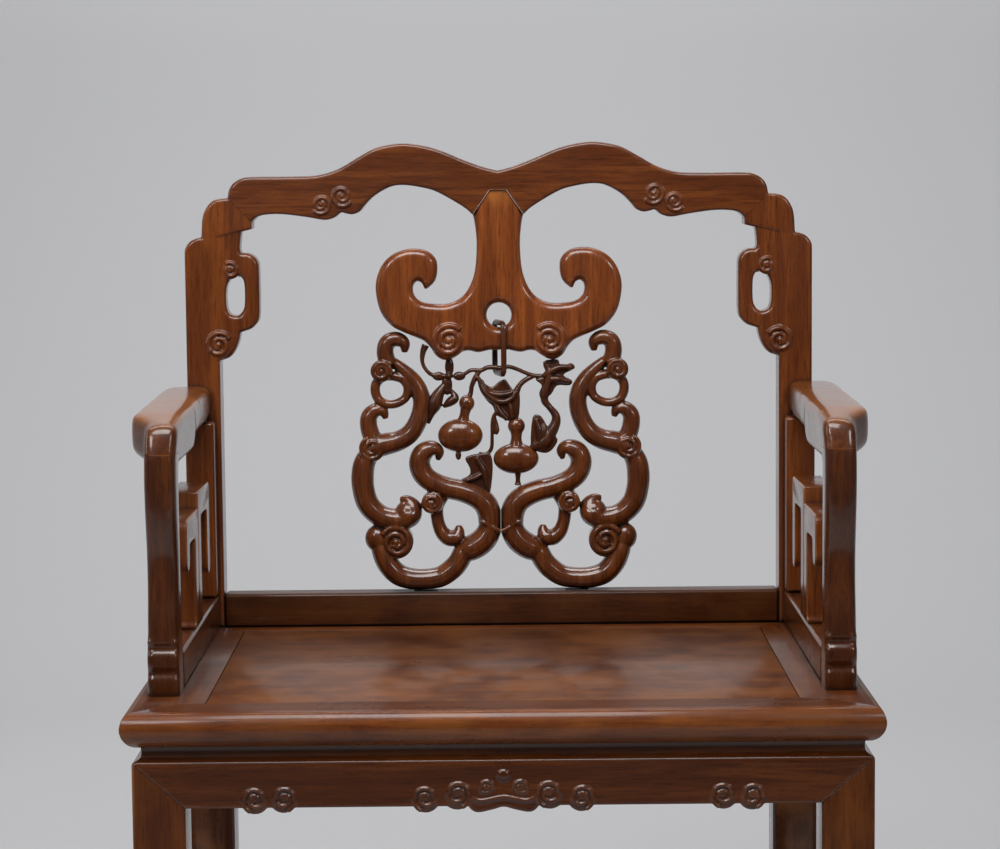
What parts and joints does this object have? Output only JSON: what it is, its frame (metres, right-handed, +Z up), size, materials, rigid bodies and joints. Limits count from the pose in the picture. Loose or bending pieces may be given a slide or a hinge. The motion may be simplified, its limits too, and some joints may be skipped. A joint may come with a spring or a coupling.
{
  "type": "armchair",
  "caption": "Straight-backed wooden armchair with a square waisted seat frame, low arms with square fretwork and a pierced back splat of scrolls, vine and gourds under a waved crest rail.",
  "frame": {"origin": "on the floor, under the middle of the chair", "axes": "+Z up, -Y to the front where the sitter's feet go, +X to the right as seen from the front"},
  "size_m": [0.659, 0.465, 0.9733],
  "materials": {
    "rosewood_frame": "polished dark red-brown rosewood with a clear lacquer shine",
    "rosewood_seat": "polished dark red-brown rosewood, worn smooth",
    "rosewood_splat": "polished carved rosewood, golden on its high places",
    "rosewood_vine": "dark carved rosewood",
    "rosewood_unpolished": "plain unpolished rosewood, out of sight"
  },
  "bodies": {
    "root": {"apron_back": "rosewood_frame", "apron_front": "rosewood_frame", "apron_left": "rosewood_frame", "apron_right": "rosewood_frame", "arm_base_rail_left": "rosewood_frame", "arm_base_rail_right": "rosewood_frame", "arm_hook_back_left": "rosewood_frame", "arm_hook_back_right": "rosewood_frame", "arm_hook_front_left": "rosewood_frame", "arm_hook_front_right": "rosewood_frame", "arm_rear_stile_left": "rosewood_frame", "arm_rear_stile_right": "rosewood_frame", "arm_rest_left": "rosewood_frame", "arm_rest_right": "rosewood_frame", "arm_stump_left": "rosewood_frame", "arm_stump_right": "rosewood_frame", "back_post_left": "rosewood_frame", "back_post_right": "rosewood_frame", "back_rail": "rosewood_frame", "crest_rail": "rosewood_frame", "leg_back_left": "rosewood_frame", "leg_back_right": "rosewood_frame", "leg_front_left": "rosewood_frame", "leg_front_right": "rosewood_frame", "seat_batten_left": "rosewood_unpolished", "seat_batten_right": "rosewood_unpolished", "seat_panel": "rosewood_seat", "seat_rail_back": "rosewood_seat", "seat_rail_front": "rosewood_seat", "seat_rail_left": "rosewood_seat", "seat_rail_right": "rosewood_seat", "splat_head": "rosewood_splat", "splat_link": "rosewood_vine", "splat_scroll_left": "rosewood_splat", "splat_scroll_right": "rosewood_splat", "splat_vine": "rosewood_vine", "stretcher_back": "rosewood_frame", "stretcher_front": "rosewood_frame", "stretcher_left": "rosewood_frame", "stretcher_right": "rosewood_frame"}
  },
  "joints": []
}
